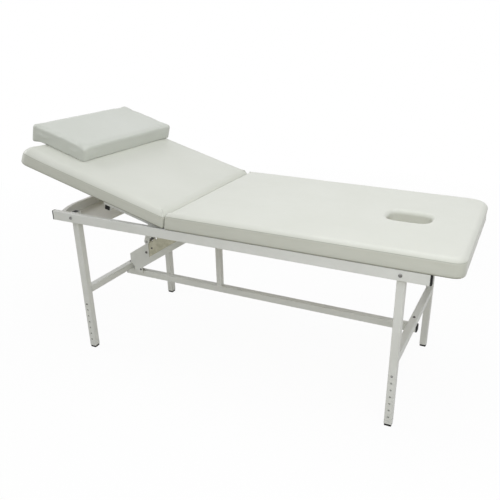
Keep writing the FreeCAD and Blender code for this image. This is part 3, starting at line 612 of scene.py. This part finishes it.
def pillow_pad():
    """The loose pillow: it swells as cloth, dents at its near foot corner and droops past the backrest."""
    start = pillow_start
    left, right = pillow_x - pillow_half[0] + start, pillow_x + pillow_half[0] - start
    xs = spaced(left, right, PILLOW_FINE, pillow_step)
    ys = spaced(-pillow_half[1] + start, pillow_half[1] - start, PILLOW_FINE, pillow_step)
    low, high = pillow_bottom, pillow_bottom + pillow_thickness
    corner = (pillow_corner, pillow_corner)
    drops = (pillow_drop, pillow_drop, pillow_drop)
    pad = Pad(xs, ys, low, high, (corner, corner), drops, pillow_drop)
    obj = new_object("head_pillow", pad.build())
    even_mesh(obj, pillow_voxel)
    inflate(obj, pillow_pressure, pillow_cap)
    painted_shade = obj.data.attributes.new("painted_shade", "FLOAT", "POINT")
    for vertex in obj.data.vertices:
        co = vertex.co
        height = (co.z - low) / (high - low)
        upper = clamp((height - pillow_upper) / (1 - pillow_upper))
        end_gap = pillow_x + pillow_half[0] - co.x
        side_gap = co.y + pillow_half[1]
        dent = math.exp(-(end_gap * end_gap + side_gap * side_gap) / (2 * dent_reach * dent_reach))
        uneven = pillow_rise * ripple(co, pillow_rise_scale, pillow_seed)
        co.z += uneven * upper - dent_depth * dent * upper
        over = clamp((back_left + droop_start - co.x) / droop_reach)
        co.z = max(co.z, low) - pillow_droop * over * over * (3 - 2 * over) * clamp(1 - height)
        # Painted shade in the crevice where the pillow sits on the backrest, fading upwards
        painted_shade.data[vertex.index].value = crevice_shade * clamp(1 - height / crevice_height)
    centre = Vector((pillow_x, 0, 0))
    turn = Matrix.Translation(centre) @ Matrix.Rotation(pillow_twist, 4, "Z") @ Matrix.Translation(-centre)
    obj.data.transform(Matrix.Translation((0, pillow_y, 0)) @ turn)
    tilt_about_hinge(obj)
    smooth(obj)
    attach(obj, "pillow")
    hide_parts("pillow")
    return obj


def node_tree(name):
    """A new material with its nodes, links, shader and texture coordinates."""
    material = bpy.data.materials.new(name)
    material.use_nodes = True
    nodes = material.node_tree.nodes
    links = material.node_tree.links
    shader = nodes["Principled BSDF"]
    coords = nodes.new("ShaderNodeTexCoord")
    return material, nodes, links, shader, coords


def noise_node(nodes, links, coords, scale, detail=3.0, roughness=0.5):
    node = nodes.new("ShaderNodeTexNoise")
    node.inputs["Scale"].default_value = scale
    node.inputs["Detail"].default_value = detail
    node.inputs["Roughness"].default_value = roughness
    links.new(coords.outputs["Object"], node.inputs["Vector"])
    return node


def ramp(nodes, links, source, stops):
    node = nodes.new("ShaderNodeValToRGB")
    elements = node.color_ramp.elements
    while len(elements) < len(stops):
        elements.new(0.5)
    for element, (position, colour) in zip(elements, stops):
        element.position = position
        element.color = (*colour, 1.0)
    links.new(source, node.inputs["Fac"])
    return node


def bump(nodes, links, height, distance, strength, after=None):
    """Small relief from a texture, in metres, on top of an earlier one."""
    node = nodes.new("ShaderNodeBump")
    node.inputs["Strength"].default_value = strength
    node.inputs["Distance"].default_value = distance
    links.new(height, node.inputs["Height"])
    if after is not None:
        links.new(after.outputs["Normal"], node.inputs["Normal"])
    return node


def map_range(nodes, links, source, low, high):
    """The source's 0 to 1 stretched to low to high."""
    node = nodes.new("ShaderNodeMapRange")
    node.inputs["To Min"].default_value = low
    node.inputs["To Max"].default_value = high
    links.new(source, node.inputs["Value"])
    return node


def vinyl(name, pale, deep):
    """Smooth upholstery vinyl: faint blotches, a fine pebbled grain and slow unevenness."""
    material, nodes, links, shader, coords = node_tree(name)
    blotch = noise_node(nodes, links, coords, scale=4.0, detail=4.0)
    colours = ramp(nodes, links, blotch.outputs["Fac"], ((0.30, deep), (0.70, pale)))
    # Painted shade: each point's painted shade value darkens the colour towards the painted shade colour
    painted_shade = nodes.new("ShaderNodeAttribute")
    painted_shade.attribute_name = "painted_shade"
    painted_shade_mix = nodes.new("ShaderNodeMix")
    painted_shade_mix.data_type = "RGBA"
    painted_shade_mix.inputs["B"].default_value = painted_shade_colour
    links.new(painted_shade.outputs["Fac"], painted_shade_mix.inputs["Factor"])
    links.new(colours.outputs["Color"], painted_shade_mix.inputs["A"])
    links.new(painted_shade_mix.outputs["Result"], shader.inputs["Base Color"])
    smudge = noise_node(nodes, links, coords, scale=22.0, detail=5.0)
    shine = map_range(nodes, links, smudge.outputs["Fac"], *vinyl_rough)
    links.new(shine.outputs["Result"], shader.inputs["Roughness"])
    grain = nodes.new("ShaderNodeTexVoronoi")
    grain.inputs["Scale"].default_value = 900.0
    links.new(coords.outputs["Object"], grain.inputs["Vector"])
    slow = noise_node(nodes, links, coords, scale=28.0, detail=2.0)
    first = bump(nodes, links, slow.outputs["Fac"], distance=0.0012, strength=0.20)
    second = bump(nodes, links, grain.outputs["Distance"], distance=0.0002, strength=0.16, after=first)
    links.new(second.outputs["Normal"], shader.inputs["Normal"])
    shader.inputs["Specular IOR Level"].default_value = vinyl_specular
    shader.inputs["Coat Weight"].default_value = vinyl_coat
    shader.inputs["Coat Roughness"].default_value = vinyl_coat_rough
    return material


def powder_coat(name, pale, deep):
    """Satin powder coat with a fine orange-peel surface and faint handling marks."""
    material, nodes, links, shader, coords = node_tree(name)
    marks = noise_node(nodes, links, coords, scale=9.0, detail=6.0, roughness=0.6)
    colours = ramp(nodes, links, marks.outputs["Fac"], ((0.28, deep), (0.62, pale)))
    links.new(colours.outputs["Color"], shader.inputs["Base Color"])
    shine = map_range(nodes, links, marks.outputs["Fac"], coat_rough[1], coat_rough[0])
    links.new(shine.outputs["Result"], shader.inputs["Roughness"])
    peel = noise_node(nodes, links, coords, scale=420.0, detail=2.0)
    surface = bump(nodes, links, peel.outputs["Fac"], distance=0.0003, strength=0.12)
    links.new(surface.outputs["Normal"], shader.inputs["Normal"])
    return material


def moulded(name, colour, worn, rough):
    """Moulded black plastic or rubber with a fine matt texture and a little dust."""
    material, nodes, links, shader, coords = node_tree(name)
    dust = noise_node(nodes, links, coords, scale=60.0, detail=5.0)
    colours = ramp(nodes, links, dust.outputs["Fac"], ((0.45, colour), (0.80, worn)))
    links.new(colours.outputs["Color"], shader.inputs["Base Color"])
    shader.inputs["Roughness"].default_value = rough
    shader.inputs["Specular IOR Level"].default_value = moulded_specular
    texture = noise_node(nodes, links, coords, scale=900.0, detail=2.0)
    surface = bump(nodes, links, texture.outputs["Fac"], distance=0.0002, strength=0.25)
    links.new(surface.outputs["Normal"], shader.inputs["Normal"])
    return material


def metal(name, colour, worn, rough, metallic=1.0, scale=120.0):
    """Plated or blackened steel with fine tarnish."""
    material, nodes, links, shader, coords = node_tree(name)
    shader.inputs["Metallic"].default_value = metallic
    tarnish = noise_node(nodes, links, coords, scale, detail=5.0)
    colours = ramp(nodes, links, tarnish.outputs["Fac"], ((0.35, worn), (0.65, colour)))
    links.new(colours.outputs["Color"], shader.inputs["Base Color"])
    shine = map_range(nodes, links, tarnish.outputs["Fac"], rough + tarnish_rough, rough)
    links.new(shine.outputs["Result"], shader.inputs["Roughness"])
    return material


def plywood(name):
    """Plain plywood with long grain."""
    material, nodes, links, shader, coords = node_tree(name)
    stretch = nodes.new("ShaderNodeMapping")
    stretch.inputs["Scale"].default_value = (1.0, 14.0, 30.0)
    links.new(coords.outputs["Object"], stretch.inputs["Vector"])
    grain = nodes.new("ShaderNodeTexNoise")
    grain.inputs["Scale"].default_value = 7.0
    grain.inputs["Detail"].default_value = 6.0
    links.new(stretch.outputs["Vector"], grain.inputs["Vector"])
    stops = ((0.30, ply_dark), (0.55, ply_mid), (0.75, ply_light))
    colours = ramp(nodes, links, grain.outputs["Fac"], stops)
    links.new(colours.outputs["Color"], shader.inputs["Base Color"])
    shader.inputs["Roughness"].default_value = plywood_rough
    surface = bump(nodes, links, grain.outputs["Fac"], distance=0.0004, strength=0.25)
    links.new(surface.outputs["Normal"], shader.inputs["Normal"])
    return material


def paint_nodes(materials):
    """Gives every CAD node the material of its slot, and the inner legs that of plated tube, whose darker
    grey is also painted shade in the outer legs' holes.
    """
    for part in frame["record"]["subparts"]:
        obj = frame["nodes"][part["node"]]
        obj.data.materials.clear()
        slot = part["material_slot"]
        # The inner legs' darker plated grey also paints the shade in the outer legs' holes
        if part["node"].startswith("inner_leg"):
            slot = "inner_tube_and_hole_shade"
        obj.data.materials.append(materials[slot])


def seen_directly(nodes, links):
    """1 where a ray comes straight, or by a reflection, from the camera."""
    path = nodes.new("ShaderNodeLightPath")
    total = nodes.new("ShaderNodeMath")
    total.operation = "ADD"
    links.new(path.outputs["Is Camera Ray"], total.inputs[0])
    links.new(path.outputs["Is Glossy Ray"], total.inputs[1])
    final = nodes.new("ShaderNodeMath")
    final.operation = "ADD"
    final.use_clamp = True
    links.new(total.outputs[0], final.inputs[0])
    links.new(path.outputs["Is Transmission Ray"], final.inputs[1])
    return final


def floor():
    """A floor that looks white from the camera and lights the underside with a warmer bounce."""
    bm = bmesh.new()
    bmesh.ops.create_grid(bm, x_segments=1, y_segments=1, size=floor_half)
    obj = new_object("floor", bm)
    material, nodes, links, shader, coords = node_tree("floor_paint")
    seen = seen_directly(nodes, links)
    paint = nodes.new("ShaderNodeMix")
    paint.data_type = "RGBA"
    paint.inputs["A"].default_value = floor_bounce
    paint.inputs["B"].default_value = floor_seen
    links.new(seen.outputs[0], paint.inputs["Factor"])
    links.new(paint.outputs["Result"], shader.inputs["Base Color"])
    shader.inputs["Roughness"].default_value = floor_rough
    shader.inputs["Specular IOR Level"].default_value = floor_specular
    away = nodes.new("ShaderNodeVectorMath")
    away.operation = "LENGTH"
    links.new(coords.outputs["Object"], away.inputs[0])
    glow = map_range(nodes, links, away.outputs["Value"], glow_low, glow_high)
    glow.inputs["From Min"].default_value = glow_near
    glow.inputs["From Max"].default_value = glow_far
    bright = nodes.new("ShaderNodeEmission")
    bright.inputs["Color"].default_value = WHITE
    bright.inputs["Strength"].default_value = 1.0
    share = nodes.new("ShaderNodeMath")
    share.operation = "MULTIPLY"
    links.new(seen.outputs[0], share.inputs[0])
    links.new(glow.outputs["Result"], share.inputs[1])
    mix = nodes.new("ShaderNodeMixShader")
    links.new(share.outputs[0], mix.inputs[0])
    links.new(shader.outputs[0], mix.inputs[1])
    links.new(bright.outputs[0], mix.inputs[2])
    links.new(mix.outputs[0], nodes["Material Output"].inputs["Surface"])
    obj.data.materials.append(material)


def world():
    """A white backdrop for the camera and a cooler, dimmer fill on the object."""
    sky = bpy.data.worlds.new("studio")
    bpy.context.scene.world = sky
    sky.use_nodes = True
    nodes, links = sky.node_tree.nodes, sky.node_tree.links
    fill = nodes["Background"]
    fill.inputs["Color"].default_value = sky_tint
    fill.inputs["Strength"].default_value = sky_strength
    white = nodes.new("ShaderNodeBackground")
    white.inputs["Color"].default_value = WHITE
    white.inputs["Strength"].default_value = 1.0
    mix = nodes.new("ShaderNodeMixShader")
    links.new(seen_directly(nodes, links).outputs[0], mix.inputs[0])
    links.new(fill.outputs[0], mix.inputs[1])
    links.new(white.outputs[0], mix.inputs[2])
    links.new(mix.outputs[0], nodes["World Output"].inputs["Surface"])


def lamp(name, place, target, size, power):
    light = bpy.data.lights.new(name, "AREA")
    light.shape = "SQUARE"
    light.size = size
    light.energy = power
    obj = bpy.data.objects.new(name, light)
    obj.location = place
    aim = Vector(target) - Vector(place)
    obj.rotation_mode = "QUATERNION"
    obj.rotation_quaternion = aim.to_track_quat("-Z", "Y")
    bpy.context.scene.collection.objects.link(obj)


def camera():
    """The camera that was fitted to the photograph."""
    data = bpy.data.cameras.new("camera")
    data.sensor_width = sensor_width
    data.lens = camera_focal_px / photo_side_px * sensor_width
    data.shift_x = -(camera_centre_px[0] - photo_side_px / 2) / photo_side_px
    data.shift_y = (camera_centre_px[1] - photo_side_px / 2) / photo_side_px
    obj = bpy.data.objects.new("camera", data)
    ahead = Vector((-math.sin(camera_yaw) * math.cos(camera_pitch),
                    math.cos(camera_yaw) * math.cos(camera_pitch), -math.sin(camera_pitch)))
    level = Vector((math.cos(camera_yaw), math.sin(camera_yaw), 0))
    above = level.cross(ahead)
    right = level * math.cos(camera_roll) + above * math.sin(camera_roll)
    up = above * math.cos(camera_roll) - level * math.sin(camera_roll)
    basis = Matrix((right, up, -ahead)).transposed().to_4x4()
    obj.matrix_world = Matrix.Translation(camera_place) @ basis
    bpy.context.scene.collection.objects.link(obj)
    bpy.context.scene.camera = obj


def build():
    """Puts the camera, the materials, the soft parts and the stage round the CAD nodes."""
    camera()
    materials = {
        "cushion_cover": vinyl("cushion_vinyl", cushion_pale, cushion_deep),
        "pillow_cover": vinyl("pillow_vinyl", pillow_pale, pillow_deep),
        "frame_paint": powder_coat("frame_coat", coat_pale, coat_deep),
        "board": plywood("board_ply"),
        "black_plastic": moulded("cap_plastic", plastic_black, plastic_dust, rough=0.55),
        "rubber": moulded("foot_rubber", rubber_black, rubber_dust, rough=0.60),
        "dark_steel": metal("dark_steel", dark_steel, dark_tarnish, rough=0.32),
        "bright_steel": metal("bright_steel", bright_steel, bright_tarnish, rough=0.30),
        "inner_tube_and_hole_shade": metal("plated_tube_and_hole_shade", plated_steel_and_hole_shade, plated_tarnish, rough=0.40, metallic=0.6,
                            scale=40.0),
        "yellow_zinc": metal("yellow_zinc", yellow_zinc, zinc_tarnish, rough=0.42, metallic=0.35,
                             scale=34.0),
    }
    paint_nodes(materials)
    for obj, slot in ((main_pad(), "cushion_cover"), (back_pad(), "cushion_cover"),
                      (pillow_pad(), "pillow_cover")):
        obj.data.materials.append(materials[slot])
    floor()
    world()
    lamp("left", place=(-3.2, -0.8, 2.4), target=(0, 0, 0.6), size=2.0, power=34)
    lamp("front", place=(1.9, -1.9, 2.2), target=(0.3, 0, 0.6), size=1.6, power=18)
    lamp("flash", place=(1.1, -2.2, 1.6), target=(-0.1, 0, 0.6), size=0.8, power=8)
    lamp("top", place=(0.5, 0.2, 3.0), target=(0.3, 0, 0.6), size=2.4, power=33)
    bpy.context.scene.view_settings.view_transform = "Standard"


build()
